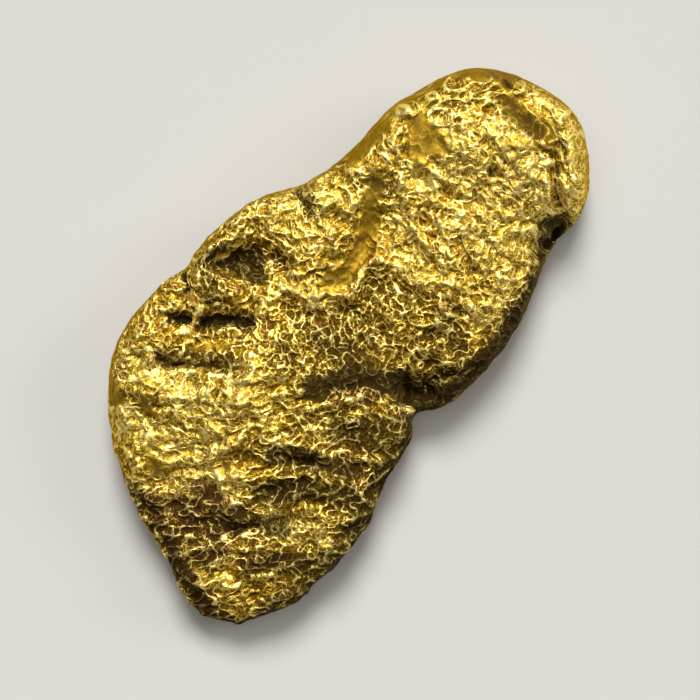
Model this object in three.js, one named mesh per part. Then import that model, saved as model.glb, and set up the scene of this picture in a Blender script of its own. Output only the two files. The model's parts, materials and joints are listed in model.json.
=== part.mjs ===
// A placer gold nugget: one flattened, water-worn solid, lying on its worn underside.
// +Y runs along the nugget towards its broad head, +X to its steep side, +Z up. Millimetres.
import * as THREE from "three";

// Driving dimensions.
const HEAD_HEIGHT = 2.95; // top of the head above the ground
const EDGE_HEIGHT_ROLLED = 1.25; // height of the outermost edge on the rolled side, -X
const EDGE_HEIGHT_STEEP = 0.85; // and on the steep side, +X
const TOP_ROLL = 0.5; // how far in the top face takes to roll over on the rolled side
const STEEP_ROLL = 0.46; // and on the steep side
const UNDER_ROLL = 1.1; // how far in the underside takes to level out
const UNDER_RISE = 0.5; // how much the underside lifts between its middle and its edge
const UNDER_REACH = 3.4; // how far in from the edge that lift begins
const WEAR = 0.14; // how much of the underside's bulge is worn off flat
const RELIEF_FADE = 0.5; // relief dies away over this distance from the edge
const LEAN_X = 1; // the top face begins to fall towards the steep side here
const LEAN = 0.3; // and has fallen this far where it meets it
const ROLLED_X = -2; // the edge is fully rolled on this side of the nugget
const STEEP_X = 3; // and fully steep beyond here

const AROUND = 100; // facets round the outline
const FROM_TOP_TO_BOTTOM = 46; // rings of facets, even so that one ring lies on the edge

// The plan outline, counter-clockwise from above, starting at the top of the head.
const OUTLINE = [
  [1.3, 9.0], [0.3, 8.88], [-0.55, 8.6], [-1.35, 8.05], [-1.72, 7.45], [-2.0, 6.75],
  [-2.36, 5.95], [-2.44, 5.0], [-2.52, 4.1], [-2.7, 3.3], [-3.05, 2.5], [-3.7, 1.6],
  [-4.02, 0.8], [-4.2, -0.1], [-4.24, -1.0], [-4.12, -1.48], [-4.38, -1.78],
  [-4.48, -2.6], [-4.52, -3.6], [-4.34, -4.5], [-3.85, -5.4], [-3.1, -6.3], [-2.1, -7.1],
  [-1.1, -7.7], [0.0, -8.08], [0.8, -8.33], [1.5, -8.8], [2.3, -9.0], [3.0, -8.78],
  [3.65, -8.15], [4.12, -7.2], [4.4, -6.0], [4.48, -4.8], [4.36, -3.75], [4.1, -2.8],
  [4.02, -1.9], [3.92, -1.15], [3.68, -0.82], [3.3, -0.68], [3.72, -0.5], [4.12, 0.1],
  [4.36, 1.1], [4.44, 2.2], [4.34, 3.3], [4.05, 4.4], [3.8, 5.3], [3.76, 6.0], [3.86, 6.6],
  [3.66, 7.3], [3.24, 7.98], [2.62, 8.58], [2.0, 8.88],
];

// Height of the top face along the nugget's length, from the thin tail to the head: [y, z].
const CREST = [
  [-9, 1.5], [-6.5, 2.05], [-3, 2.45], [0, 2.55], [3, 2.6], [5, 2.72], [7, HEAD_HEIGHT], [9, 2.7],
];

// Swells and hollows of the top face, as soft ellipses: where, half sizes, turn in degrees, rise.
const SWELLS = [
  { at: [1.2, 7.1], half: [1.9, 1.3], turn: 0, rise: 0.1 }, // dome of the head
  { at: [-3.6, 0.2], half: [0.5, 1.5], turn: 12, rise: 0.16 }, // lip round the side basin
  { at: [-2.9, 0.1], half: [0.75, 0.8], turn: -30, rise: -0.5 }, // side basin
  { at: [-2.9, -1.35], half: [0.6, 0.5], turn: 30, rise: 0.22 }, // pillow in the basin's end
  { at: [-0.55, 2.2], half: [0.4, 1.7], turn: 10, rise: -0.22 }, // smooth channel
  { at: [1.2, 0.1], half: [1.3, 1.0], turn: 0, rise: -0.34 }, // central basin
  { at: [-0.8, -3.4], half: [0.6, 2.4], turn: -8, rise: 0.16 }, // spine of the tail
  { at: [2.2, -3.6], half: [1.5, 0.45], turn: 40, rise: -0.22 }, // slanting dents of the tail
  { at: [2.0, -5.4], half: [1.4, 0.4], turn: 48, rise: -0.2 },
  { at: [0.7, -6.9], half: [1.1, 0.8], turn: 10, rise: -0.22 }, // dull patch near the tip
  { at: [2.9, 3.3], half: [0.8, 1.3], turn: 0, rise: 0.1 }, // shoulder above the steep side
  { at: [-3.6, -3.2], half: [0.7, 1.4], turn: 0, rise: 0.12 }, // shoulder of the folded lobe
  { at: [3.4, -0.05], half: [0.9, 0.65], turn: 20, rise: -0.75 }, // pocket at the steep side's notch
  { at: [3.6, 5.95], half: [0.5, 0.65], turn: 10, rise: -1.1 }, // pocket under the head
];

// Folds of the top face, pressed in along a line.
const FOLDS = [
  { path: [[-4.5, -1.45], [-3.7, -1.85], [-3.05, -2.45]], half: 0.55, depth: 0.3 },
  { path: [[-3.4, -2.6], [-2.8, -2.3], [-1.8, -1.5]], half: 0.6, depth: 0.24 },
  { path: [[-3.3, -3.8], [-2.5, -3.6], [-1.7, -3.05]], half: 0.5, depth: 0.2 },
  { path: [[2.0, 7.6], [2.6, 7.0], [3.05, 6.5]], half: 0.45, depth: 0.2 },
];

// Dents of the underside, which is worn smoother than the top.
const DENTS = [
  { at: [-1.6, 3.8], half: [0.9, 1.6], turn: -20, rise: 0.32 },
  { at: [2.4, -2.6], half: [1.1, 0.7], turn: 30, rise: 0.3 },
  { at: [-2.3, -4.4], half: [0.8, 0.5], turn: -40, rise: 0.24 },
  { at: [1.6, 7.2], half: [0.7, 0.5], turn: 15, rise: 0.2 },
];

const { degToRad, lerp, smoothstep } = THREE.MathUtils;

const outline = new THREE.CatmullRomCurve3(
  OUTLINE.map(([x, y]) => new THREE.Vector3(x, y, 0)),
  true,
  "centripetal",
);
const edgePoints = outline.getSpacedPoints(AROUND);
const edgeReach = Math.max(...edgePoints.map(({ x }) => x));
const centre = new THREE.Vector3(0.3, -0.1, 0); // every part of the outline can be seen from here

// Distance in plan from a point to a line of points.
function distanceToLine(point, line) {
  const nearest = new THREE.Vector3();
  let least = Infinity;
  for (let i = 1; i < line.length; i += 1) {
    new THREE.Line3(line[i - 1], line[i]).closestPointToPoint(point, true, nearest);
    least = Math.min(least, nearest.distanceTo(point));
  }
  return least;
}

// Sum of soft ellipses at a point.
function swellAt({ x, y }, swells) {
  let sum = 0;
  for (const { at, half, turn, rise } of swells) {
    const cos = Math.cos(degToRad(turn));
    const sin = Math.sin(degToRad(turn));
    const along = ((x - at[0]) * cos + (y - at[1]) * sin) / half[0];
    const across = ((y - at[1]) * cos - (x - at[0]) * sin) / half[1];
    sum += rise * Math.exp(-(along ** 2) - across ** 2);
  }
  return sum;
}

const foldLines = FOLDS.map(({ path, half, depth }) => ({
  line: path.map(([x, y]) => new THREE.Vector3(x, y, 0)),
  half,
  depth,
}));

// Depth of the folds at a point.
function foldAt(point) {
  let sum = 0;
  for (const { line, half, depth } of foldLines) {
    sum += depth * Math.exp(-((distanceToLine(point, line) / half) ** 2));
  }
  return sum;
}

// Height of the smoothed crest line at y.
function crestAt(y) {
  const last = CREST.length - 1;
  const next = Math.min(last, Math.max(1, CREST.findIndex(([at]) => at >= y)));
  const [y0, z0] = CREST[next - 1];
  const [y1, z1] = CREST[next];
  return lerp(z0, z1, smoothstep(y, y0, y1));
}

// Share of full height at a distance in from the edge: a quarter of an ellipse.
function rollOver(inward, width) {
  const left = Math.max(0, 1 - inward / width);
  return Math.sqrt(1 - left * left);
}

function topHeight(point, inward, steepness, edge) {
  const relief = swellAt(point, SWELLS) - foldAt(point);
  const lean = LEAN * smoothstep(point.x, LEAN_X, edgeReach);
  const face = crestAt(point.y) - lean + relief * smoothstep(inward, 0, RELIEF_FADE);
  return lerp(edge, face, rollOver(inward, lerp(TOP_ROLL, STEEP_ROLL, steepness)));
}

function underHeight(point, inward, edge) {
  const bulge = UNDER_RISE * Math.max(0, 1 - inward / UNDER_REACH) ** 2 - WEAR;
  const face = Math.max(0, bulge + swellAt(point, DENTS));
  return lerp(edge, face, rollOver(inward, UNDER_ROLL));
}

// A sphere whose rings are spread over the outline and whose two halves become the two faces.
function nuggetGeometry() {
  const geometry = new THREE.SphereGeometry(1, AROUND, FROM_TOP_TO_BOTTOM);
  const position = geometry.getAttribute("position");
  const point = new THREE.Vector3();
  for (let i = 0; i < position.count; i += 1) {
    const ring = Math.floor(i / (AROUND + 1));
    const column = i % (AROUND + 1);
    const polar = (Math.PI * ring) / FROM_TOP_TO_BOTTOM;
    point.lerpVectors(centre, edgePoints[column], Math.sin(polar));
    const inward = distanceToLine(point, edgePoints);
    const steepness = smoothstep(point.x, ROLLED_X, STEEP_X);
    const edge = lerp(EDGE_HEIGHT_ROLLED, EDGE_HEIGHT_STEEP, steepness);
    const onTop = ring <= FROM_TOP_TO_BOTTOM / 2;
    point.z = onTop ? topHeight(point, inward, steepness, edge) : underHeight(point, inward, edge);
    position.setXYZ(i, point.x, point.y, point.z);
  }
  geometry.deleteAttribute("uv");
  geometry.computeVertexNormals();
  geometry.computeBoundingBox();
  const middle = geometry.boundingBox.getCenter(new THREE.Vector3());
  geometry.translate(-middle.x, -middle.y, 0);
  return geometry;
}

const nativeGold = new THREE.MeshStandardMaterial({ color: 0xd9a93a, metalness: 1, roughness: 0.38 });

const nugget = new THREE.Mesh(nuggetGeometry(), nativeGold);
nugget.name = "nugget";

const part = new THREE.Group();
part.add(nugget);

export default part;
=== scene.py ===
"""A placer gold nugget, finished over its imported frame."""

import json
import math
from functools import partial

import bpy
import numpy as np
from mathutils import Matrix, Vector, noise

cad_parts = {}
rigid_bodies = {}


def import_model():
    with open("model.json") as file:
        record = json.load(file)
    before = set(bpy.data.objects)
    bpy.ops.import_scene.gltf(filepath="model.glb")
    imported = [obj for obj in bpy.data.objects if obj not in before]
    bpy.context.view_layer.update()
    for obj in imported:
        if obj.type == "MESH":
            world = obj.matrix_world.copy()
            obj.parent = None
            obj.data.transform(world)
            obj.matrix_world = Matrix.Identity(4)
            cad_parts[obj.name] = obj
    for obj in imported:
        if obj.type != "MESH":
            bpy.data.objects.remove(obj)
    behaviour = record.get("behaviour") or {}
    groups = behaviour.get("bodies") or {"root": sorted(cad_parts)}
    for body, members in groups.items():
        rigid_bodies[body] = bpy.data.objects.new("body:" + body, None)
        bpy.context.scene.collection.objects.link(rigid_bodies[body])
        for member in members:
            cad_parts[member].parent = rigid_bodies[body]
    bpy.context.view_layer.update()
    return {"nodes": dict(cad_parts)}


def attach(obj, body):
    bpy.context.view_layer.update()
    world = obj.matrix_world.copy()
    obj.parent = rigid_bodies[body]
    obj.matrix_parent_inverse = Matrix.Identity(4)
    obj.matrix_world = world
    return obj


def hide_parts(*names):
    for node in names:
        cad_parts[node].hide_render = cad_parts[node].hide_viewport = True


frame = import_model()

bl_info = {
    "name": "Gold nugget",
    "version": (1, 0, 0),
    "blender": (4, 5, 0),
    "location": "3D View > Sidebar > Nugget",
    "description": "Builds a water-worn placer gold nugget and a plain stage for it",
    "category": "Mesh",
}

MM = 0.001  # metres in a millimetre
TRIANGLES = 198_000  # the finished mesh has no more

# Everything below is in millimetres, in the nugget's own frame: +Y towards the broad head,
# +X towards the steep side, +Z up.

COARSE_VOXEL = 0.15  # the mesh that the cracks and folds are pressed into
FINE_VOXEL = 0.075  # the mesh that the fine crinkles are raised on
TOP_BEGINS, TOP_WHOLE = -0.1, 0.55  # how far up a face looks at the border of the top face
HEAD_MIDDLE = (0.9, 5.9, 0.0)  # the hollow that the head's crinkles circle round
TAIL_SLANT = math.radians(55)  # the tail's wrinkles run this far round from +X
WEARING = 0.7  # how strongly the rubbed patches hold down the broad wrinkles
# Rounds of averaging over the mesh: for the broad lie of the skin, and for the two distances at
# which a point is judged to stand out or lie deep.
LIE_ROUNDS, NEAR_ROUNDS, WIDE_ROUNDS = 30, 8, 60

# Cracks and deep grooves of the top face: path, half width, depth, how much dark dirt colour they
# hold, partly real dirt and partly painted shade.
CRACKS = [
    ([(-4.4, -1.4), (-4.0, -1.56), (-3.65, -1.85), (-3.3, -2.15), (-3.0, -2.45)], 0.1, 0.4, 1.0),
    ([(-1.7, -1.45), (-2.3, -1.85), (-2.65, -2.25), (-3.0, -2.5), (-3.55, -2.7)], 0.14, 0.42, 1.0),
    ([(-3.35, -3.8), (-2.9, -3.8), (-2.5, -3.6), (-2.2, -3.4), (-1.85, -3.25), (-1.5, -3.0)],
     0.11, 0.36, 1.0),
    ([(-0.2, 8.33), (0.2, 8.28)], 0.07, 0.2, 0.9),
    ([(1.9, 7.55), (2.3, 7.3), (2.6, 7.0), (2.85, 6.75), (3.1, 6.42)], 0.1, 0.36, 0.85),
    ([(1.95, 7.9), (2.3, 7.8), (2.6, 7.6)], 0.09, 0.18, 0.7),
    ([(0.85, 6.6), (1.3, 6.5), (1.75, 6.3)], 0.1, 0.18, 0.7),
    ([(2.7, 0.0), (2.95, -0.3), (3.15, -0.55), (3.4, -0.72)], 0.13, 0.6, 1.0),
    ([(3.0, 0.3), (3.45, 0.2), (3.9, 0.1)], 0.1, 0.35, 1.0),
    ([(3.1, 0.3), (3.5, 0.7), (3.9, 1.0)], 0.12, 0.3, 1.0),
    ([(2.75, -3.3), (2.15, -3.4), (1.6, -3.75), (1.15, -4.0)], 0.16, 0.26, 0.9),
    ([(2.65, -3.9), (2.2, -4.2), (1.85, -4.65), (1.45, -4.95), (1.15, -5.25)], 0.16, 0.26, 0.9),
    ([(2.35, -5.75), (2.0, -5.85), (1.6, -6.35), (1.4, -6.65)], 0.14, 0.22, 0.9),
    ([(1.0, -2.1), (0.7, -2.45)], 0.12, 0.2, 0.7),
    ([(2.0, -0.75), (1.4, -1.3), (1.0, -1.9)], 0.2, 0.26, 0.9),
    ([(-1.85, -5.1), (-1.15, -5.1)], 0.1, 0.14, 0.6),
    ([(1.7, 4.5), (2.2, 4.35), (2.7, 4.4)], 0.12, 0.16, 0.6),
    ([(2.0, 3.85), (2.3, 3.6), (2.5, 3.4)], 0.12, 0.16, 0.6),
    ([(-1.2, -7.3), (-0.4, -7.65)], 0.16, 0.16, 0.6),
]

# Crest lines of the top face: path, half width, rise. Their tops also get a painted highlight in
# the colour.
CRESTS = [
    # The long ridge between the channel and the basin, and the spine that leads on down the tail.
    ([(-1.8, -0.7), (-1.45, -0.1), (-0.95, 0.0), (-0.35, 0.4), (0.1, 0.9), (-0.05, 1.5), (-0.05, 2.05),
      (0.5, 2.2), (0.9, 2.5)], 0.09, 0.2),
    ([(-1.9, -0.6), (-1.35, -1.75), (-0.8, -2.6), (-0.65, -3.3)], 0.16, 0.12),
    ([(-0.65, -3.1), (-0.4, -3.65), (-0.8, -4.25), (-0.65, -4.85)], 0.1, 0.14),
    ([(-0.65, -4.85), (-0.2, -5.2), (0.25, -5.5), (0.55, -5.8), (0.95, -6.0)], 0.1, 0.16),
    ([(-0.3, -3.0), (0.1, -3.35), (0.8, -3.9)], 0.08, 0.1),
    # Between the channel and the steep side.
    ([(0.0, 4.0), (0.2, 3.5), (0.8, 3.25), (1.5, 3.2), (2.0, 3.05)], 0.09, 0.16),
    ([(1.0, 3.3), (1.4, 3.55), (1.9, 3.4)], 0.07, 0.1),
    ([(0.9, 2.05), (1.2, 2.25), (1.7, 2.65), (2.3, 2.9), (2.8, 3.4)], 0.08, 0.15),
    ([(2.5, 3.2), (2.75, 2.8), (3.2, 2.6), (3.1, 2.3), (2.6, 2.15), (2.1, 2.2)], 0.08, 0.14),
    ([(2.7, 0.1), (3.15, 0.3), (3.2, 0.65)], 0.06, 0.14),
    ([(3.05, -0.65), (3.4, -0.7), (3.75, -0.85)], 0.06, 0.14),
    ([(1.2, 0.9), (1.15, 0.4), (1.4, 0.1), (1.8, 0.35)], 0.07, 0.12),
    ([(0.4, 1.0), (0.65, 0.55), (0.5, 0.2), (0.8, 0.2), (1.0, 0.0)], 0.05, 0.08),
    ([(1.2, -2.2), (1.6, -1.8), (1.9, -1.5), (2.4, -1.3)], 0.07, 0.12),
    ([(-0.1, 0.3), (0.0, -0.3), (-0.1, -0.8)], 0.06, 0.08),
    ([(2.6, -1.6), (1.9, -2.2), (1.3, -2.5)], 0.1, 0.1),
    ([(3.6, -5.2), (4.2, -5.3), (4.15, -5.7)], 0.1, 0.12),
    # Flow lines of the head.
    ([(0.2, 6.95), (0.9, 6.75), (1.5, 6.55), (2.0, 6.25)], 0.06, 0.1),
    ([(0.5, 7.2), (1.2, 7.0), (1.8, 6.75), (2.3, 6.35)], 0.06, 0.08),
    ([(1.85, 7.5), (2.35, 7.25), (2.8, 6.95), (3.15, 6.6)], 0.08, 0.13),
    ([(1.7, 7.3), (2.2, 7.0), (2.6, 6.65), (2.9, 6.3)], 0.08, 0.13),
    ([(1.9, 8.0), (2.5, 7.75), (2.9, 7.3), (3.3, 6.8)], 0.07, 0.12),
    ([(2.2, 5.9), (2.55, 5.6), (2.6, 5.2), (2.2, 4.95)], 0.07, 0.11),
    ([(0.7, 6.3), (0.85, 5.9), (1.05, 5.7), (1.3, 5.9)], 0.06, 0.08),
    ([(-0.6, 6.9), (-0.4, 6.5), (0.0, 6.3)], 0.06, 0.09),
    ([(-1.0, 6.0), (-0.3, 5.95), (0.3, 6.1)], 0.06, 0.08),
    ([(1.0, 4.6), (1.4, 4.9), (2.0, 4.8), (2.4, 4.5), (2.8, 4.6)], 0.07, 0.11),
    ([(0.9, 4.2), (1.5, 4.3), (1.9, 4.1)], 0.06, 0.09),
    ([(-0.9, 4.9), (-0.5, 5.15), (0.0, 5.05), (0.3, 5.2)], 0.07, 0.1),
    ([(-1.0, 4.3), (-0.3, 4.35), (0.5, 4.3)], 0.08, 0.1),
    # The left hollow, and the pale sliver in the crack.
    ([(-3.75, 0.95), (-3.85, 0.4), (-3.6, 0.0), (-3.45, 0.4)], 0.08, 0.1),
    ([(-3.3, 0.1), (-3.55, -0.3), (-3.7, -0.8)], 0.06, 0.1),
    ([(-2.8, -0.1), (-2.4, 0.05), (-1.95, -0.05)], 0.05, 0.08),
    ([(-3.75, 1.3), (-3.3, 1.0), (-2.6, 1.15), (-2.0, 1.2)], 0.1, 0.1),
    ([(-3.2, -2.1), (-2.95, -2.35), (-2.88, -2.5), (-2.98, -2.8)], 0.045, 0.22),
    ([(-3.65, -2.8), (-3.45, -3.05)], 0.045, 0.14),
]

# Ledges: walking along the path, the face on the right drops by the depth and climbs back over
# the reach, and the dropped face gets painted shade in its colour.
LEDGES = [
    ([(-1.3, -1.3), (-1.6, -0.7), (-1.4, -0.3), (-0.85, -0.15), (-0.2, 0.25), (0.2, 0.95), (0.1, 1.5),
      (0.15, 1.9), (0.6, 2.05), (1.3, 2.2), (2.15, 2.6), (2.8, 2.6)], 0.16, 1.6),
    ([(-4.0, -1.1), (-3.85, -0.5), (-3.45, 0.0), (-3.1, 0.35), (-2.85, 0.6), (-2.6, 0.5), (-2.2, 0.8),
      (-1.85, 0.75)], 0.3, 0.9),
    ([(-2.1, 0.8), (-1.75, 0.6), (-1.65, 0.3), (-1.85, -0.1)], 0.2, 0.6),
]

# Hollows: centre, half sizes, turn in degrees, depth, height of the rim round it, how much dark
# dirt colour they hold, partly real dirt and partly painted shade.
HOLLOWS = [
    ((1.02, 6.0), (0.24, 0.22), 0, 0.22, 0.05, 1.0),
    ((-0.35, 4.6), (0.32, 0.26), 10, 0.16, 0.05, 0.5),
    ((0.5, 4.75), (0.26, 0.22), 0, 0.14, 0.05, 0.4),
    ((0.4, 3.9), (0.32, 0.24), 20, 0.14, 0.08, 0.3),
    ((3.35, 4.4), (0.2, 0.22), 0, 0.16, 0.03, 0.5),
    ((-1.45, 3.7), (0.18, 0.14), 0, 0.14, 0.02, 0.6),
    ((-1.55, 2.3), (0.32, 0.26), 0, 0.15, 0.07, 0.4),
    ((-2.75, 2.1), (0.5, 0.16), -25, 0.24, 0.03, 1.0),
    ((-3.3, -0.6), (0.55, 0.3), 45, 0.3, 0.02, 0.9),
    ((-2.5, -0.2), (0.32, 0.17), -20, 0.2, 0.03, 1.0),
    ((-2.1, 0.45), (0.36, 0.24), -10, 0.16, 0.03, 0.9),
    ((-3.2, -1.25), (0.4, 0.16), 10, 0.16, 0.03, 0.9),
    ((2.75, 2.4), (0.42, 0.18), 0, 0.2, 0.04, 1.0),
    ((2.55, 1.5), (0.36, 0.16), 25, 0.16, 0.04, 0.9),
    ((1.35, 0.6), (0.22, 0.14), 20, 0.14, 0.04, 0.8),
    ((2.5, 1.4), (0.26, 0.2), 0, 0.18, 0.04, 0.7),
    ((2.9, 0.75), (0.28, 0.18), 0, 0.18, 0.03, 0.8),
    ((-3.3, -2.62), (0.22, 0.16), 0, 0.25, 0.0, 1.0),
    ((-3.6, -4.2), (0.18, 0.14), 0, 0.14, 0.03, 0.5),
    ((-2.35, -4.9), (0.2, 0.16), 0, 0.14, 0.03, 0.7),
    ((-2.3, -5.35), (0.16, 0.14), 0, 0.14, 0.02, 0.7),
    ((-1.7, -6.05), (0.16, 0.14), 0, 0.12, 0.03, 0.5),
    ((2.2, -7.5), (0.28, 0.2), 0, 0.12, 0.08, 0.2),
    ((0.9, 7.75), (0.85, 0.32), -10, 0.12, 0.0, 0.3),
    ((3.95, -3.1), (0.18, 0.3), 0, 0.25, 0.0, 0.8),
    ((4.15, -4.25), (0.14, 0.4), 0, 0.25, 0.0, 0.8),
    ((3.68, 5.74), (0.3, 0.56), 8, 1.2, 0.0, 1.0),
    ((3.45, -0.15), (0.6, 0.3), 20, 0.45, 0.0, 1.0),
]

# Small rises: centre, half sizes, turn in degrees, height.
MOUNDS = [
    ((1.75, 7.7), (0.22, 0.16), -40, 0.12),
    ((-3.0, -1.3), (0.6, 0.35), 25, 0.14),
    ((1.6, -6.9), (0.35, 0.25), 0, 0.07),
    ((2.9, -7.75), (0.2, 0.18), 0, 0.1),
    ((1.3, -8.25), (0.2, 0.18), 0, 0.1),
    ((2.4, -8.5), (0.2, 0.15), 0, 0.08),
    ((-3.7, -2.35), (0.25, 0.15), 20, 0.12),
    ((0.2, 5.6), (1.4, 1.6), 0, 0.12),
    ((-2.6, -4.2), (1.2, 1.6), 0, 0.12),
    ((-0.5, -3.2), (0.7, 2.0), 0, 0.12),
    ((3.2, 2.9), (0.6, 1.2), 0, 0.1),
]

# Patches that the river has rubbed smooth: a line of points and a half width.
BURNISHED = [
    ([(-1.35, 3.8), (-0.95, 3.0), (-0.5, 2.2), (-0.4, 1.4), (-0.45, 0.7)], 0.3),
    ([(-1.3, 5.8), (-1.2, 5.5), (-0.8, 5.1)], 0.34),
    ([(-2.15, 5.2), (-2.15, 4.6), (-2.2, 4.0)], 0.22),
    ([(-0.9, 8.3), (-0.4, 8.45), (-0.1, 8.3)], 0.26),
    ([(-1.6, 7.8), (-1.0, 7.95)], 0.3),
    ([(0.3, 7.85), (0.9, 7.8), (1.5, 7.8)], 0.3),
    ([(-1.3, 5.7), (-0.6, 5.7)], 0.35),
    ([(-3.8, -5.3), (-3.3, -5.5)], 0.16),
    ([(-2.6, -5.15), (-2.3, -5.2)], 0.14),
    ([(-1.5, -6.4), (-1.2, -6.4)], 0.16),
    ([(-2.7, -3.1), (-2.3, -2.8), (-1.9, -2.5)], 0.12),
]

# Areas where the skin is cleanest and least crinkled, and painted light lifts the colour of its
# hollows: a line of points, a half width, how strong.
CLEAN_AND_LIT = [
    ([(0.6, 8.6), (2.2, 8.3)], 0.4, 0.8),
    ([(0.6, 7.1), (1.2, 6.9), (2.5, 6.3)], 0.7, 1.0),
    ([(2.5, 8.3), (3.3, 7.3), (3.4, 6.7)], 0.6, 1.0),
    ([(-0.4, 6.2), (1.4, 5.4), (2.7, 5.6)], 0.9, 0.8),
    ([(-0.6, 4.6), (1.0, 4.2), (3.0, 4.4)], 0.8, 0.7),
    ([(3.4, 4.2), (3.35, 2.6)], 0.35, 1.0),
    ([(-0.5, 4.8), (-0.3, 3.3)], 0.35, 1.0),
    ([(-1.8, 3.9), (-1.4, 3.1)], 0.3, 0.7),
    ([(-0.9, -5.4), (0.6, -5.5)], 0.4, 1.0),
    ([(0.1, 3.6), (0.6, 2.7), (2.2, 2.7)], 0.6, 0.8),
    ([(-2.2, 5.8), (-2.0, 5.2)], 0.3, 0.8),
    ([(-2.6, 2.9), (-2.9, 1.2), (-2.1, 1.2), (-1.6, 2.8)], 0.5, 0.6),
    ([(-0.2, 1.6), (-0.5, 0.3), (-1.4, 0.2)], 0.35, 0.8),
    ([(-0.8, -3.0), (-0.4, -3.6), (-0.5, -4.9), (0.4, -5.5)], 0.4, 0.9),
    ([(-0.3, -2.9), (0.5, -3.2)], 0.4, 0.7),
    ([(-3.5, -4.3), (-2.2, -4.2), (-1.2, -4.4)], 0.6, 0.9),
    ([(-2.6, -5.9), (-1.2, -5.6), (-0.6, -6.2)], 0.6, 0.9),
    ([(2.2, -5.6), (3.6, -5.1)], 0.35, 0.8),
    ([(2.0, -7.2), (2.2, -7.9)], 0.3, 0.8),
    ([(1.4, -2.9), (2.1, -2.6)], 0.2, 0.7),
]

# Slivers of bare metal that stand clear of the dirt, and a painted highlight on the lip of the
# notch (the third): a line of points, a half width, how strong.
SLIVERS_AND_HIGHLIGHT = [
    ([(-3.5, -1.95), (-3.1, -2.15), (-2.88, -2.45), (-2.95, -2.85)], 0.09, 1.0),
    ([(-3.65, -2.8), (-3.45, -3.05)], 0.06, 1.0),
    ([(3.05, -0.66), (3.5, -0.68)], 0.06, 1.0),
    ([(-3.4, 0.0), (-3.6, -0.7)], 0.05, 0.5),
]

# Areas darkened with the dark dirt colour, partly real dirt in the recesses and partly painted
# shade on the parts that face away from the key light and on the steep side: a line of points, a
# half width, how strong.
DIRT_AND_SHADE_AREAS = [
    ([(0.6, 1.0), (1.2, 0.4), (0.6, -0.5), (-0.2, -0.5)], 0.9, 0.5),
    ([(2.5, 2.4), (2.7, 1.4), (2.9, 0.4)], 0.4, 0.6),
    ([(3.2, 1.7), (3.8, 1.4)], 0.4, 0.7),
    ([(2.6, -0.25), (3.4, -0.35), (4.1, 0.2)], 0.55, 1.0),
    ([(3.3, 0.4), (4.1, 1.0)], 0.5, 0.8),
    ([(4.3, 3.8), (4.4, 2.0), (4.2, 0.8), (3.8, -0.3)], 0.6, 1.0),
    ([(3.62, 6.0), (3.7, 5.4), (4.0, 4.4)], 0.34, 1.0),
    ([(2.2, -0.5), (1.5, -0.9), (0.9, -1.8)], 0.5, 0.95),
    ([(0.2, -0.6), (1.4, -0.5)], 0.6, 0.75),
    ([(3.4, -1.2), (2.8, -2.0), (2.2, -2.3)], 0.6, 0.8),
    ([(3.8, -1.2), (4.2, -3.0), (4.4, -4.5), (4.4, -6.0), (3.9, -7.9)], 0.6, 0.82),
    ([(3.2, -2.9), (2.0, -3.5), (1.2, -4.0)], 0.35, 0.9),
    ([(3.6, -3.6), (2.6, -4.2), (1.5, -5.2)], 0.35, 0.85),
    ([(2.6, -5.5), (1.7, -6.0), (1.1, -6.6)], 0.35, 0.85),
    ([(3.7, -5.9), (2.9, -6.6), (2.6, -7.0)], 0.35, 0.85),
    ([(1.6, -1.8), (4.0, -5.0)], 1.6, 0.42),
    ([(1.9, -5.6), (3.3, -7.0)], 1.3, 0.38),
    ([(-0.6, -0.8), (-0.3, -1.8)], 0.5, 0.55),
    ([(0.4, -6.6), (1.2, -7.6)], 0.8, 0.6),
    ([(0.6, -8.0), (1.4, -8.4), (2.4, -8.85), (3.5, -8.5), (3.8, -8.0)], 0.35, 0.9),
    ([(-3.6, -0.5), (-3.2, -0.3), (-2.8, 0.0)], 0.4, 0.95),
    ([(-2.9, -0.4), (-2.3, -0.4)], 0.3, 0.9),
    ([(-3.7, -1.0), (-3.2, -1.5), (-2.8, -1.6)], 0.35, 0.7),
    ([(-3.5, -2.7), (-2.7, -2.3), (-2.3, -1.9), (-1.7, -1.45)], 0.22, 1.0),
    ([(-3.1, -3.8), (-2.2, -3.2), (-1.4, -2.8)], 0.35, 0.8),
    ([(-1.0, 3.9), (-1.5, 3.6)], 0.3, 0.7),
    ([(-2.9, 2.4), (-2.3, 2.1)], 0.3, 0.7),
    ([(-1.9, -7.4), (-0.6, -7.5), (0.6, -7.9)], 0.4, 0.75),
    ([(0.2, 7.72), (1.4, 7.68)], 0.4, 0.6),
]

# Patches with a reddish brown iron film: a line of points, a half width, how strong.
FILMED = [
    ([(-0.6, -7.3), (0.3, -6.9), (1.3, -7.1)], 0.75, 0.85),
    ([(0.1, -6.1), (0.8, -6.2), (1.5, -6.3)], 0.5, 0.85),
    ([(-0.3, -7.8), (1.4, -8.4), (2.6, -8.8)], 0.35, 0.9),
    ([(-0.9, 8.3), (0.1, 8.45)], 0.3, 0.6),
    ([(0.2, 7.85), (1.4, 7.8)], 0.35, 0.3),
    ([(-1.2, 7.6), (-0.6, 6.7)], 0.45, 0.45),
    ([(2.2, -0.9), (1.6, -1.5)], 0.5, 0.7),
    ([(-1.9, -2.2), (-1.5, -1.2)], 0.4, 0.35),
    ([(2.4, -6.9), (3.0, -6.4)], 0.5, 0.6),
    ([(2.8, -2.2), (3.4, -3.2)], 0.6, 0.55),
    ([(3.2, -3.8), (1.6, -4.8)], 0.4, 0.55),
    ([(-4.2, -3.0), (-4.1, -4.4), (-3.5, -5.6)], 0.3, 0.4),
]


def linear(hex_colour):
    """An sRGB hex value as linear red, green, blue and alpha."""
    values = [int(hex_colour[i : i + 2], 16) / 255 for i in (1, 3, 5)]
    return [v / 12.92 if v <= 0.04045 else ((v + 0.055) / 1.055) ** 2.4 for v in values] + [1.0]


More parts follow.
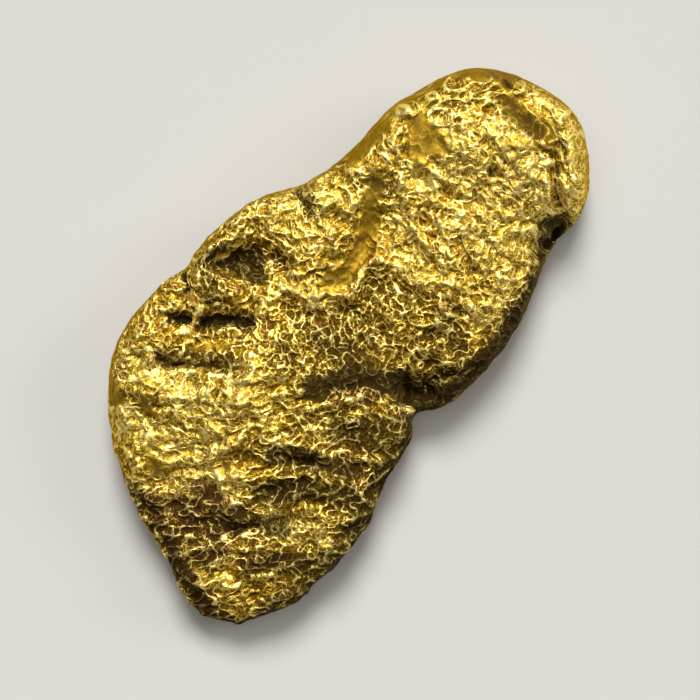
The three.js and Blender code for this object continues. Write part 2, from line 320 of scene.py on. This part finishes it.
# Shapes of the relief, as functions of the distance from a line or a point.


def smoothstep(value, low, high):
    """0 up to low and 1 past high, easing between them; with low above high it falls instead."""
    t = np.clip((value - low) / (high - low), 0, 1)
    return t * t * (3 - 2 * t)


def line_distance(xy, path):
    """Distance in plan to a line of points, which side each point is on (right is positive), and
    how far along the line it lies, from 0 to 1."""
    least = np.full(len(xy), 1e9)
    side = np.zeros(len(xy))
    place = np.zeros(len(xy))
    corners = np.array(path, float)
    lengths = np.hypot(*np.diff(corners, axis=0).T)
    starts = np.concatenate([[0], np.cumsum(lengths)])
    for i, (a, b) in enumerate(zip(corners[:-1], corners[1:])):
        along = b - a
        share = np.clip((xy - a) @ along / (along @ along), 0, 1)
        away = xy - a - share[:, None] * along
        distance = np.hypot(*away.T)
        nearer = distance < least
        least[nearer] = distance[nearer]
        side[nearer] = (away @ np.array([along[1], -along[0]]))[nearer]
        place[nearer] = ((starts[i] + share * lengths[i]) / starts[-1])[nearer]
    return least, np.sign(side), place


def oval_distance(xy, centre, half, turn):
    """How many half sizes a point is from the middle of an oval."""
    angle = math.radians(turn)
    away = xy - np.array(centre)
    along = away @ np.array([math.cos(angle), math.sin(angle)])
    across = away @ np.array([-math.sin(angle), math.cos(angle)])
    return np.hypot(along / half[0], across / half[1])


def noise_at(points, size, seed):
    """Smooth noise from -1 to 1 whose bumps are about one size across."""
    shifted = points / size + seed * 17.3
    return np.array([noise.noise(place) for place in shifted.tolist()])


def wander(points, size, amount, seed):
    """Moves points about a little, so that lines drawn through them wander."""
    return points + amount * np.stack([noise_at(points, size, seed + i * 5) for i in range(3)], 1)


def crinkle(points, size, octaves, seed):
    """Ridged noise: thin crests round rounder hollows, from 0 in the hollows to 1 on the crests.
    The second result passes zero along the broadest crests."""
    total = np.zeros(len(points))
    scale = 1.0
    norm = 0.0
    for octave in range(octaves):
        value = noise_at(points, size * scale, seed + octave * 3)
        total += scale * np.clip(1 - np.abs(value) * 2.2, 0, 1) ** 1.6
        norm += scale
        scale *= 0.5
        if octave == 0:
            broadest = value
    return total / norm, broadest


def select_only(piece):
    bpy.ops.object.select_all(action="DESELECT")
    piece.select_set(True)
    bpy.context.view_layer.objects.active = piece


def apply_modifier(piece, kind, **settings):
    select_only(piece)
    bpy.ops.object.modifier_add(type=kind)
    modifier = piece.modifiers[-1]
    for name, value in settings.items():
        setattr(modifier, name, value)
    bpy.ops.object.modifier_apply(modifier=modifier.name)


def scale_and_apply(piece, factor):
    select_only(piece)
    piece.scale = (factor,) * 3
    bpy.ops.object.transform_apply(location=False, rotation=False, scale=True)


def keep_main_body(piece):
    """Deletes whatever isn't joined to the highest point, such as a speck left inside by remeshing."""
    highest = int(read_points(piece)[:, 2].argmax())
    select_only(piece)
    bpy.ops.object.mode_set(mode="EDIT")
    bpy.ops.mesh.select_mode(type="VERT")
    bpy.ops.mesh.select_all(action="DESELECT")
    bpy.ops.object.mode_set(mode="OBJECT")
    piece.data.vertices[highest].select = True
    bpy.ops.object.mode_set(mode="EDIT")
    bpy.ops.mesh.select_linked()
    bpy.ops.mesh.select_all(action="INVERT")
    bpy.ops.mesh.delete(type="VERT")
    bpy.ops.object.mode_set(mode="OBJECT")


def read_points(piece, what="co"):
    values = np.empty(len(piece.data.vertices) * 3)
    if what == "co":
        piece.data.vertices.foreach_get("co", values)
    else:
        piece.data.vertex_normals.foreach_get("vector", values)
    return values.reshape(-1, 3)


def write_points(piece, points):
    piece.data.vertices.foreach_set("co", np.ascontiguousarray(points).ravel())
    piece.data.update()


def write_attribute(piece, name, values):
    layer = piece.data.attributes.new(name, "FLOAT", "POINT")
    layer.data.foreach_set("value", np.ascontiguousarray(values, dtype=np.float32))


def neighbour_mean(values, edges, rounds):
    """Values smoothed over the mesh by averaging with their neighbours, round after round."""
    count = np.bincount(edges.ravel(), minlength=len(values))[:, None]
    smooth = values.reshape(len(values), -1).copy()
    for _ in range(rounds):
        total = np.zeros_like(smooth)
        for column in range(smooth.shape[1]):
            total[:, column] = np.bincount(
                edges[:, 0], smooth[edges[:, 1], column], len(values)
            ) + np.bincount(edges[:, 1], smooth[edges[:, 0], column], len(values))
        smooth = 0.5 * smooth + 0.5 * total / count
    return smooth.reshape(values.shape)


# The nugget.


class NuggetSizes(bpy.types.PropertyGroup):
    """How big and how deep the nugget's relief is"""

    grain: bpy.props.FloatProperty(
        name="Grain", description="Size of the fine crinkles, in millimetres", default=0.24
    )
    crinkle: bpy.props.FloatProperty(
        name="Crinkle height", description="Height of the fine crinkles, in millimetres", default=0.11
    )
    fold: bpy.props.FloatProperty(
        name="Fold height", description="Height of the broader wrinkles, in millimetres", default=0.17
    )
    cracks: bpy.props.FloatProperty(
        name="Crack depth", description="Depth of the cracks, times their own", default=1.0
    )


class NuggetColours(bpy.types.PropertyGroup):
    """The colours of the gold and of what lies on it, and of its painted highlights and painted shade"""

    gold: bpy.props.FloatVectorProperty(
        name="Gold",
        description="Clean native gold on crests",
        subtype="COLOR",
        size=4,
        default=linear("#ffd748"),
    )
    # Painted highlight: the pale gold of the sharpest crests stands in for the glint of the light.
    highlight_gold: bpy.props.FloatVectorProperty(
        name="Pale gold",
        description="Sharpest crests",
        subtype="COLOR",
        size=4,
        default=linear("#ffe890"),
    )
    # Painted shade: the deep gold darkens the hollows where shade falls.
    shaded_hollow_gold: bpy.props.FloatVectorProperty(
        name="Deep gold",
        description="Gold in the hollows",
        subtype="COLOR",
        size=4,
        default=linear("#76540f"),
    )
    burnished: bpy.props.FloatVectorProperty(
        name="Burnished",
        description="Rubbed gold of the rim",
        subtype="COLOR",
        size=4,
        default=linear("#9c7a22"),
    )
    film: bpy.props.FloatVectorProperty(
        name="Film",
        description="Brown iron film",
        subtype="COLOR",
        size=4,
        default=linear("#66421c"),
    )
    # Dark dirt and painted shade: this colour darkens the recesses, the dark areas and the steep wall.
    grime_and_shade: bpy.props.FloatVectorProperty(
        name="Grime",
        description="Dark dirt in the recesses",
        subtype="COLOR",
        size=4,
        default=linear("#241505"),
    )


def taper(place, ends):
    """1 along the middle of a line, falling to 0 at both of its ends."""
    return smoothstep(np.minimum(place, 1 - place), 0, ends)


def carve(xy, cracks, wobble):
    """Height of the listed relief at points in plan, how much dark dirt colour each point holds,
    partly real dirt and partly painted shade, and how near it is to the top of a crest line, which
    gets a painted highlight."""
    height = np.zeros(len(xy))
    dirt_and_shade = np.zeros(len(xy))
    highlight_line = np.zeros(len(xy))
    uneven = 0.75 + 0.5 * wobble
    for path, half, depth, darkened in CRACKS:
        distance, _, place = line_distance(xy, path)
        narrowing = 0.45 + 0.55 * taper(place, 0.35)
        width = half * uneven * narrowing
        height -= cracks * depth * uneven * narrowing * np.exp(-((distance / width) ** 1.6))
        height += 0.15 * depth * np.exp(-(((distance - 2 * half) / half) ** 2))
        # Dark dirt colour along the crack, partly real dirt and partly painted shade.
        dirt_and_shade = np.maximum(dirt_and_shade, darkened * np.exp(-((distance / (1.7 * width)) ** 2)))
    for path, half, rise in CRESTS:
        distance, _, place = line_distance(xy, path)
        height += rise * taper(place, 0.15) * np.exp(-((distance / half) ** 2)) * (0.8 + 0.5 * wobble)
        # Painted highlight along the top of the crest line.
        highlight_line = np.maximum(highlight_line, taper(place, 0.1) * np.exp(-((distance / (0.9 * half)) ** 2)))
    for path, drop, reach in LEDGES:
        distance, side, place = line_distance(xy, path)
        fall = np.where(side > 0, smoothstep(distance, 0, 0.22) * np.exp(-((distance / reach) ** 2)), 0)
        height -= drop * taper(place, 0.2) * fall
        # Painted shade on the dropped face.
        dirt_and_shade = np.maximum(dirt_and_shade, 0.45 * taper(place, 0.2) * fall)
    for centre, half, turn, depth, rim, darkened in HOLLOWS:
        away = oval_distance(xy, centre, half, turn) * (1 + 0.25 * wobble)
        height -= depth * np.exp(-(away**2.4))
        height += rim * np.exp(-(((away - 1.4) / 0.35) ** 2))
        # Dark dirt colour in the hollow, partly real dirt and partly painted shade.
        dirt_and_shade = np.maximum(dirt_and_shade, 0.8 * darkened * np.exp(-(away**3)))
    for centre, half, turn, rise in MOUNDS:
        height += rise * np.exp(-(oval_distance(xy, centre, half, turn) ** 2))
    return height, dirt_and_shade, highlight_line


def patches(xy, areas):
    """How strongly each point in plan lies in the areas, fading over their borders."""
    cover = np.zeros(len(xy))
    for path, half, strength in areas:
        distance, _, _ = line_distance(xy, path)
        cover = np.maximum(cover, strength * smoothstep(distance, half * 1.5, half * 0.4))
    return cover


def build_nugget(sizes):
    """The nugget's mesh, grown from a copy of its frame node."""
    node = frame["nodes"]["nugget"]
    bpy.ops.object.select_all(action="DESELECT")
    piece = node.copy()
    piece.data = node.data.copy()
    piece.name = "gold_nugget"
    piece.data.name = "gold_nugget"
    piece.parent = None
    for mark in list(piece.keys()):  # the copy isn't a frame node, so it drops the marks of one
        del piece[mark]
    bpy.context.scene.collection.objects.link(piece)
    piece.hide_render = False
    select_only(piece)
    bpy.ops.object.mode_set(mode="EDIT")
    bpy.ops.mesh.select_all(action="SELECT")
    bpy.ops.mesh.remove_doubles(threshold=1e-7)
    bpy.ops.object.mode_set(mode="OBJECT")
    scale_and_apply(piece, 1 / MM)
    apply_modifier(piece, "REMESH", mode="VOXEL", voxel_size=COARSE_VOXEL, use_smooth_shade=True)
    apply_modifier(piece, "SMOOTH", factor=0.5, iterations=6)
    apply_modifier(piece, "SUBSURF", levels=1, render_levels=1)
    press_folds(piece, sizes)
    apply_modifier(piece, "REMESH", mode="VOXEL", voxel_size=FINE_VOXEL, use_smooth_shade=True)
    apply_modifier(piece, "SMOOTH", factor=0.5, iterations=1)
    apply_modifier(piece, "SUBSURF", levels=1, render_levels=1)
    roughen(piece, sizes)
    apply_modifier(piece, "DECIMATE", ratio=min(1, TRIANGLES / (2 * len(piece.data.polygons))))
    keep_main_body(piece)
    scale_and_apply(piece, MM)
    return piece


def in_plan(points):
    """Places in plan, pushed about so that what is drawn through them wanders, and how uneven it
    is there."""
    flat = points * (1, 1, 0)
    wandered = wander(wander(flat, 0.6, 0.16, 1), 0.22, 0.07, 2)[:, :2]
    return wandered, noise_at(flat, 0.35, 9)


def on_top(facing):
    """How much a point belongs to the top face, from how far up its face looks."""
    return smoothstep(facing, TOP_BEGINS, TOP_WHOLE)


def grain_of(points, stretch):
    """Points drawn out along the slant of the tail's wrinkles, and how much a point belongs to the
    tail, less on its rolled side."""
    along = points @ np.array([math.cos(TAIL_SLANT), math.sin(TAIL_SLANT), 0])
    across = points @ np.array([-math.sin(TAIL_SLANT), math.cos(TAIL_SLANT), 0])
    drawn = np.stack([along * stretch, across, points[:, 2]], 1)
    tail = smoothstep(points[:, 1] - 0.5 * points[:, 0], -1.0, -3.5)
    inland = smoothstep(points[:, 0], -2.2, -0.5)
    return drawn, tail * (0.4 + 0.6 * inland)


def swirl_of(points):
    """Points drawn out along circles round the hollow of the head, and how much a point belongs to
    the head."""
    away = points - HEAD_MIDDLE
    radius = np.hypot(away[:, 0], away[:, 1])
    safe = np.maximum(radius, 0.05)
    drawn = np.stack([away[:, 0] / safe, away[:, 1] / safe, radius + points[:, 2]], 1)
    return drawn, smoothstep(points[:, 1], 4.2, 5.2) * smoothstep(radius, 0.4, 0.9)


def press_folds(piece, sizes):
    """Presses the cracks, hollows and broad wrinkles into the smooth lump."""
    base = read_points(piece)
    normal = read_points(piece, "normal")
    top = on_top(normal[:, 2])
    xy, wobble = in_plan(base)
    carved, _, _ = carve(xy, sizes.cracks, wobble)
    drawn, tail = grain_of(base, 0.42)
    loose, _ = crinkle(wander(base, 0.8, 0.2, 30), 0.8, 2, 31)
    combed, _ = crinkle(wander(drawn, 0.8, 0.15, 34), 0.6, 2, 35)
    circled, head = swirl_of(base)
    swirled, _ = crinkle(wander(circled, 0.8, 0.15, 36), 0.5, 2, 37)
    folds = loose * (1 - tail - head) + 1.6 * combed * tail + swirled * head - 0.4
    rubbed = patches(xy, [(*area, WEARING) for area in BURNISHED])
    skin = 0.14 * noise_at(base, 1.8, 25) * top
    skin += sizes.fold * folds * (1 - rubbed) * (0.45 + 0.55 * top)
    points = base + normal * skin[:, None]
    points[:, 2] = np.maximum(points[:, 2] + (carved - 0.1) * top, 0)
    write_points(piece, points)


def roughen(piece, sizes):
    """Raises the fine crinkles all over, and notes the finish of each point and its painted light."""
    base = read_points(piece)
    normal = read_points(piece, "normal")
    edges = np.empty(len(piece.data.edges) * 2, dtype=np.int64)
    piece.data.edges.foreach_get("vertices", edges)
    edges = edges.reshape(-1, 2)
    broad = neighbour_mean(normal, edges, LIE_ROUNDS)
    facing = broad[:, 2] / np.linalg.norm(broad, axis=1)
    top = on_top(facing)
    under = smoothstep(facing, 0.1, -0.6)
    xy, wobble = in_plan(base)
    _, dirt_and_shade, highlight_line = carve(xy, sizes.cracks, wobble)

    # How rubbed each point is: the rolled rim, then the patches, then the underside.
    steep = smoothstep(base[:, 0], 2.0, 3.4) * smoothstep(base[:, 1], 7.2, 6.0)
    clean_and_lit = patches(xy, CLEAN_AND_LIT) * top
    rim = smoothstep(facing, 0.56, 0.3) * smoothstep(facing, -0.6, 0.0) * (1 - 0.8 * clean_and_lit)
    patchy = np.clip(0.7 + 0.9 * noise_at(base, 0.9, 12), 0, 1)
    rubbed = patches(xy, [(*area, 1.0) for area in BURNISHED])
    burnish = np.maximum((0.85 - 0.2 * steep) * rim * patchy, 0.8 * rubbed)
    burnish = np.maximum(burnish * (1 - under), 0.6 * under)

    # Dark dirt colour lies in the recesses, partly real dirt and partly painted shade, and painted
    # shade lies on the shoulder of the steep wall; a brown film lies on a few patches. Slivers of metal
    # and a painted highlight stand clear of it.
    shoulder = smoothstep(facing, 0.85, 0.5) * smoothstep(facing, -0.1, 0.25)
    wall_shade = shoulder * (0.1 + 0.7 * steep) * (0.9 + 0.4 * noise_at(base, 0.9, 14)) + 0.2 * steep
    grime_and_shade = np.maximum(np.maximum(dirt_and_shade, patches(xy, DIRT_AND_SHADE_AREAS)) * top, wall_shade)
    film = patches(xy, FILMED) * top
    # Painted highlight: the sliver on the notch's lip is lit up in the colour.
    bare_and_highlight = patches(xy, SLIVERS_AND_HIGHLIGHT) * top
    grime_and_shade *= 1 - bare_and_highlight

    # The fine crinkles: loose on the body, combed along the slant of the tail, circling in the head.
    drawn, tail = grain_of(base, 0.7)
    fine_loose, vein_loose = crinkle(wander(base, 0.3, 0.08, 40), sizes.grain, 2, 41)
    fine_combed, vein_combed = crinkle(wander(drawn, 0.3, 0.06, 44), sizes.grain, 2, 45)
    circled, head = swirl_of(base)
    fine_swirled, vein_swirled = crinkle(wander(circled, 0.3, 0.06, 47), 0.9 * sizes.grain, 2, 48)
    fine = fine_loose * (1 - tail - head) + fine_combed * tail + fine_swirled * head - 0.35
    vein = vein_loose * (1 - tail - head) + vein_combed * tail + vein_swirled * head
    # Painted highlight along the crest of each crinkle.
    highlight_lines = smoothstep(np.abs(vein), 0.2, 0.0) * (1 - 0.8 * burnish)
    highlight_lines *= smoothstep(noise_at(base, 0.4, 70), -0.3, 0.3)
    lumps = noise_at(wander(base, 0.3, 0.08, 60), 0.16, 61)
    strength = (0.85 + 0.4 * noise_at(base, 1.1, 50)) * (1 - 0.82 * burnish) * (0.25 + 0.75 * top)
    strength *= 1 - 0.3 * clean_and_lit
    points = base + normal * (sizes.crinkle * (fine + 0.2 * lumps) * strength)[:, None]
    points[:, 2] = np.maximum(points[:, 2], 0)
    write_points(piece, points)

    # Painted highlight on the crests and painted shade in the recesses, from how far a point stands out
    # of its neighbourhood, with the painted highlight of the crest lines and the slivers.
    near = ((points - neighbour_mean(points, edges, NEAR_ROUNDS)) * normal).sum(1)
    wide = ((points - neighbour_mean(points, edges, WIDE_ROUNDS)) * normal).sum(1)
    painted_light_level = 0.14 * highlight_line * top + 0.7 * bare_and_highlight
    lit_crest_shaded_hollow = np.clip(0.3 + 0.2 * highlight_lines + near * 6 + wide * 2.0 + painted_light_level, 0, 0.82)
    write_attribute(piece, "lit_crest_shaded_hollow", lit_crest_shaded_hollow)
    write_attribute(piece, "burnish", burnish)
    write_attribute(piece, "grime_and_shade", grime_and_shade)
    write_attribute(piece, "film", film)
    write_attribute(piece, "clean_and_lit", clean_and_lit)
    write_attribute(piece, "vein", vein)


def node(tree, kind, values=(), output=0, **settings):
    """Adds a node with its settings, fills its inputs in order or, from a dict, by name or number,
    and gives one of its outputs."""
    made = tree.nodes.new("ShaderNode" + kind)
    for name, value in settings.items():
        setattr(made, name, value)
    pairs = values.items() if isinstance(values, dict) else enumerate(values)
    for socket, value in pairs:
        target = made.inputs[socket]
        if isinstance(value, bpy.types.NodeSocket):
            tree.links.new(value, target)
        else:
            target.default_value = value
    return made.outputs[output] if made.outputs else None


# Patterns of the gold, drawn through noise: how many cells of it to the metre, and for wrinkles how
# far they spread in the noise's own value.
BLOTCHES = 1.6 / MM  # cells of about 0.6 mm
COARSE_WRINKLES = 3.0 / MM, 0.045  # cells of 0.33 mm
FINE_WRINKLES = 5.6 / MM, 0.07  # cells of 0.18 mm
# The line on top of a crinkle is a painted highlight, and the dark foot beside it painted shade.
HIGHLIGHT_LINE_EDGE = 0.09  # where the line on top of a crinkle ends, in the vein attribute
FOOT_SHADE_MIDDLE, FOOT_SHADE_EDGE = 0.16, 0.06  # the dark foot beside it, and its half width
BUMP_HEIGHT = 0.01 * MM  # height of the wrinkles that only the shader makes


def ridges(add, place, scale, width):
    """Thin crests that wander where a noise passes its middle value: 1 on the crest, 0 between."""
    value = add(
        "TexNoise",
        {"Vector": place, "Scale": scale, "Detail": 1.0, "Roughness": 0.5, "Distortion": 0.9},
    )
    away = add("Math", [add("Math", [value, 0.5], operation="SUBTRACT")], operation="ABSOLUTE")
    return add("MapRange", [away, width, 0.0], interpolation_type="SMOOTHSTEP")


def native_gold(colours):
    """Native gold, grown in the rock and then beaten and tumbled in a river bed: bright pale crests
    and crest lines that are painted highlights, deeper brown gold in the hollows and dark feet
    beside the lines that are painted shade, a darker, even gold on the rubbed rim, dark dirt colour
    in the cracks and recesses that is partly real dirt and partly painted shade, and a dull brown
    iron film on a few patches."""
    material = bpy.data.materials.new("native_gold")
    material.use_nodes = True
    tree = material.node_tree
    tree.nodes.clear()
    add = partial(node, tree)
    place = add("TexCoord", output="Object")
    lit_crest_shaded_hollow, burnish, grime_and_shade, film, lit_clean, vein = [
        add("Attribute", output="Fac", attribute_name=name)
        for name in ("lit_crest_shaded_hollow", "burnish", "grime_and_shade", "film", "clean_and_lit", "vein")
    ]

    # Blotches break up the film and the painted highlight lines, and wrinkles too fine for the mesh
    # cover the skin, in the bump and as painted highlight in the colour.
    blotch = add("TexNoise", {"Vector": place, "Scale": BLOTCHES, "Detail": 4.0})
    coarse = ridges(add, place, *COARSE_WRINKLES)
    fine = add("Math", [ridges(add, place, *FINE_WRINKLES), 0.8], operation="MULTIPLY")
    wrinkles = add("Math", [coarse, fine], operation="MAXIMUM")

    # The painted highlight along the top of each crinkle, and the painted shade of the dark foot on
    # both sides of it.
    away = add("Math", [vein], operation="ABSOLUTE")
    highlight_line = add("MapRange", [away, HIGHLIGHT_LINE_EDGE, 0.0], interpolation_type="SMOOTHSTEP")
    beside = add("Math", [away, FOOT_SHADE_MIDDLE], operation="SUBTRACT")
    beside = add("Math", [beside], operation="ABSOLUTE")
    foot_shade = add("MapRange", [beside, FOOT_SHADE_EDGE, 0.0], interpolation_type="SMOOTHSTEP")
    whole = add("MapRange", [blotch, 0.4, 0.58], interpolation_type="SMOOTHSTEP")
    lines_lit_and_shaded = add("Math", [foot_shade, -0.7, highlight_line], operation="MULTIPLY_ADD")
    lines_lit_and_shaded = add("Math", [lines_lit_and_shaded, whole], operation="MULTIPLY")
    drawn = add("Math", [whole, 0.7, 0.2], operation="MULTIPLY_ADD")
    drawn = add("Math", [highlight_line, drawn], operation="MULTIPLY")

    # Wrinkles, painted highlight lines and painted shade feet together, for the bump and for the
    # colour, worn away where the gold is rubbed.
    grain = add("Math", [wrinkles, drawn], operation="MAXIMUM")
    grain = add("Math", [grain, 0.75, -0.1], operation="MULTIPLY_ADD")
    edges_lit_and_shaded = add("Math", [lines_lit_and_shaded, 0.45], operation="MULTIPLY")
    grain = add("Math", [grain, edges_lit_and_shaded], operation="ADD")
    unworn = add("Math", [burnish, -0.8, 1.0], operation="MULTIPLY_ADD")
    grain = add("Math", [grain, unworn], operation="MULTIPLY")

    # Gold from hollow to crest: painted shade in the hollows and painted highlight on the crests.
    # Where the skin is clean, painted light lifts its hollows nearly as bright.
    painted_lift = add("Math", [lit_crest_shaded_hollow, -0.4, 0.28], operation="MULTIPLY_ADD")
    painted_lift = add("Math", [lit_clean, painted_lift], operation="MULTIPLY")
    painted_light_level = add("Math", [grain, 0.5, -0.02], operation="MULTIPLY_ADD")
    painted_light_level = add("Math", [lit_crest_shaded_hollow, painted_light_level], operation="ADD")
    painted_light_level = add("Math", [painted_light_level, painted_lift], operation="ADD")
    shade_to_highlight = add("MapRange", [painted_light_level, 0.12, 0.84], interpolation_type="SMOOTHSTEP")
    sharpest_highlight = add("MapRange", [shade_to_highlight, 0.5, 1.0], interpolation_type="SMOOTHSTEP")
    rubbed = add("Math", [burnish, 0.85], operation="MULTIPLY")

    # Film, and dark dirt colour that is partly real dirt and partly painted shade, lie in the recesses
    # and leave the crests clean.
    film_level = add("Math", [shade_to_highlight, -0.6, film], operation="MULTIPLY_ADD")
    uneven = add("Math", [blotch, 0.5], operation="SUBTRACT")
    film_level = add("Math", [film_level, uneven], operation="ADD")
    filmed = add("MapRange", [film_level, 0.0, 0.8], interpolation_type="SMOOTHSTEP")
    thick = add("Math", [grime_and_shade, 0.75, 0.22], operation="MULTIPLY_ADD")
    dirt_and_shade_cover = add("Math", [shade_to_highlight, -0.45, grime_and_shade], operation="MULTIPLY_ADD")
    dirt_and_shade_cover = add("Math", [wrinkles, -0.15, dirt_and_shade_cover], operation="MULTIPLY_ADD")
    dirt_and_shade_cover = add("MapRange", [dirt_and_shade_cover, -0.1, 0.55], interpolation_type="SMOOTHSTEP")
    dirt_and_shade_cover = add("Math", [dirt_and_shade_cover, thick], operation="MULTIPLY")

    # Each coat of colour over the one before it: how much of it shows, and its colour. The deep and
    # pale golds are painted shade and painted highlight; the dark coat is dirt and painted shade.
    colour = tuple(colours.shaded_hollow_gold)
    for amount, coat in (
        (shade_to_highlight, colours.gold),
        (sharpest_highlight, colours.highlight_gold),
        (rubbed, colours.burnished),
        (filmed, colours.film),
        (dirt_and_shade_cover, colours.grime_and_shade),
    ):
        colour = add("Mix", {0: amount, 6: colour, 7: tuple(coat)}, output=2, data_type="RGBA")

    # Dirt and painted shade, and film, are duller than the metal and hide it.
    covered_and_shaded = add("Math", [filmed, 0.7], operation="MULTIPLY")
    covered_and_shaded = add("Math", [dirt_and_shade_cover, covered_and_shaded], operation="MAXIMUM")
    dull = add("Math", [shade_to_highlight, -0.1, 0.54], operation="MULTIPLY_ADD")
    dull = add("Math", [covered_and_shaded, 0.35, dull], operation="MULTIPLY_ADD")
    metallic = add("Math", [covered_and_shaded, -0.65, 1.0], operation="MULTIPLY_ADD")
    bump = add("Bump", {"Strength": 1.0, "Distance": BUMP_HEIGHT, "Height": grain})
    finish = {
        "Base Color": colour,
        "Roughness": dull,
        "Metallic": metallic,
        "Specular IOR Level": 0.25,
        "Specular Tint": (1.0, 0.8, 0.3, 1.0),
        "Normal": bump,
    }
    add("OutputMaterial", {"Surface": add("BsdfPrincipled", finish)})
    return material


class NUGGET_OT_nugget(bpy.types.Operator):
    """Builds the nugget: a copy of the frame's solid, remeshed finely and given its relief and its gold"""

    bl_idname = "nugget.build_nugget"
    bl_label = "Nugget"
    bl_options = {"REGISTER", "UNDO"}

    def execute(self, context):
        piece = build_nugget(context.scene.nugget_sizes)
        piece.data.materials.clear()
        piece.data.materials.append(native_gold(context.scene.nugget_colours))
        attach(piece, "root")
        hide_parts("nugget")
        return {"FINISHED"}


# The stage.


class StageSettings(bpy.types.PropertyGroup):
    """The floor and the light of the room"""

    floor: bpy.props.FloatVectorProperty(
        name="Floor",
        description="Colour of the floor",
        subtype="COLOR",
        size=4,
        default=linear("#c2c0bb"),
    )
    horizon: bpy.props.FloatProperty(name="Horizon", description="Light from the horizon", default=0.74)
    zenith: bpy.props.FloatProperty(name="Zenith", description="Light from above", default=0.08)


def soft_light(name, towards, strength, width):
    """A wide soft light so far off that it lights the whole floor alike; its width is in degrees."""
    bpy.ops.object.light_add(type="SUN")
    light = bpy.context.object
    light.name = name
    light.rotation_euler = (-towards).to_track_quat("-Z", "Y").to_euler()
    light.data.energy = strength
    light.data.angle = math.radians(width)


FLOOR_SIZE = 6.0  # metres, so that its edge is lost in the distance from every side
FLOOR_GAP = 0.01  # how far under the nugget it lies
SKY_TOP = 0.35  # the light of the horizon has faded this far up, 1 being straight above
WARM_WHITE = (1, 0.98, 0.95, 1)

ROLL = math.radians(38)  # the camera's turn about the vertical
LENS, SENSOR = 120, 36  # focal length, and the width of a new camera's sensor
VIEW_CENTRE = Vector((1.005, -0.351, 1.5))  # the camera looks straight down on this point
VIEW_WIDTH = 20.017  # and sees this much from side to side there
VIEW_UP = Vector((-math.sin(ROLL), math.cos(ROLL), 0))
VIEW_RIGHT = Vector((math.cos(ROLL), math.sin(ROLL), 0))


def from_view(right, up, height):
    """A direction as the camera has it: to its right, to its top and back towards it."""
    return VIEW_RIGHT * right + VIEW_UP * up + Vector((0, 0, height))


def matt_card(colour):
    """Matt card, pressed from pulp and left uncoated: an even pale ground with no gloss."""
    material = bpy.data.materials.new("matt_card")
    material.use_nodes = True
    shader = material.node_tree.nodes["Principled BSDF"]
    shader.inputs["Base Color"].default_value = tuple(colour)
    shader.inputs["Roughness"].default_value = 1.0
    shader.inputs["Specular IOR Level"].default_value = 0.0
    return material


class NUGGET_OT_stage(bpy.types.Operator):
    """Adds the floor, the lights, the sky and the camera"""

    bl_idname = "nugget.build_stage"
    bl_label = "Stage"
    bl_options = {"REGISTER", "UNDO"}

    def execute(self, context):
        settings = context.scene.nugget_stage
        bpy.ops.object.select_all(action="DESELECT")
        bpy.ops.mesh.primitive_plane_add(size=FLOOR_SIZE, location=(0, 0, -FLOOR_GAP * MM))
        floor = context.object
        floor.name = "floor"
        floor.data.materials.append(matt_card(settings.floor))

        world = bpy.data.worlds.new("soft_room")
        context.scene.world = world
        world.use_nodes = True
        tree = world.node_tree
        tree.nodes.clear()
        direction = node(tree, "TexCoord", output="Generated")
        height = node(tree, "SeparateXYZ", [direction], output="Z")
        fade = [height, 0.0, SKY_TOP, settings.horizon, settings.zenith]
        glow = node(tree, "MapRange", fade, interpolation_type="SMOOTHSTEP")
        background = node(tree, "Background", {"Color": WARM_WHITE, "Strength": glow})
        node(tree, "OutputWorld", {"Surface": background})

        soft_light("key", from_view(0.0, 0.72, 0.88), 3.5, 24)
        soft_light("overhead", from_view(-0.1, 0.2, 1), 0.85, 45)
        soft_light("side", from_view(0.9, 0.3, 0.6), 0.7, 25)

        above = Vector((0, 0, VIEW_WIDTH * MM * LENS / SENSOR))
        place = VIEW_CENTRE * MM + above
        bpy.ops.object.camera_add(location=place, rotation=(0, 0, ROLL))
        camera = context.object
        camera.name = "camera"
        camera.data.lens = LENS
        camera.data.clip_start = 1 * MM
        context.scene.camera = camera
        context.scene.view_settings.view_transform = "Standard"
        return {"FINISHED"}


class NUGGET_PT_panel(bpy.types.Panel):
    """Lists the sizes, the colours and the two build buttons"""

    bl_label = "Nugget"
    bl_space_type = "VIEW_3D"
    bl_region_type = "UI"
    bl_category = "Nugget"

    def draw(self, context):
        scene = context.scene
        for group in (scene.nugget_sizes, scene.nugget_colours, scene.nugget_stage):
            for name in group.__annotations__:
                self.layout.prop(group, name)
        self.layout.operator("nugget.build_nugget")
        self.layout.operator("nugget.build_stage")


CLASSES = (
    NuggetSizes,
    NuggetColours,
    StageSettings,
    NUGGET_OT_nugget,
    NUGGET_OT_stage,
    NUGGET_PT_panel,
)


def register():
    for cls in CLASSES:
        bpy.utils.register_class(cls)
    bpy.types.Scene.nugget_sizes = bpy.props.PointerProperty(type=NuggetSizes)
    bpy.types.Scene.nugget_colours = bpy.props.PointerProperty(type=NuggetColours)
    bpy.types.Scene.nugget_stage = bpy.props.PointerProperty(type=StageSettings)


def unregister():
    for name in ("nugget_sizes", "nugget_colours", "nugget_stage"):
        delattr(bpy.types.Scene, name)
    for cls in reversed(CLASSES):
        bpy.utils.unregister_class(cls)


def main():
    register()
    bpy.ops.nugget.build_nugget()
    bpy.ops.nugget.build_stage()


if __name__ == "__main__":
    main()
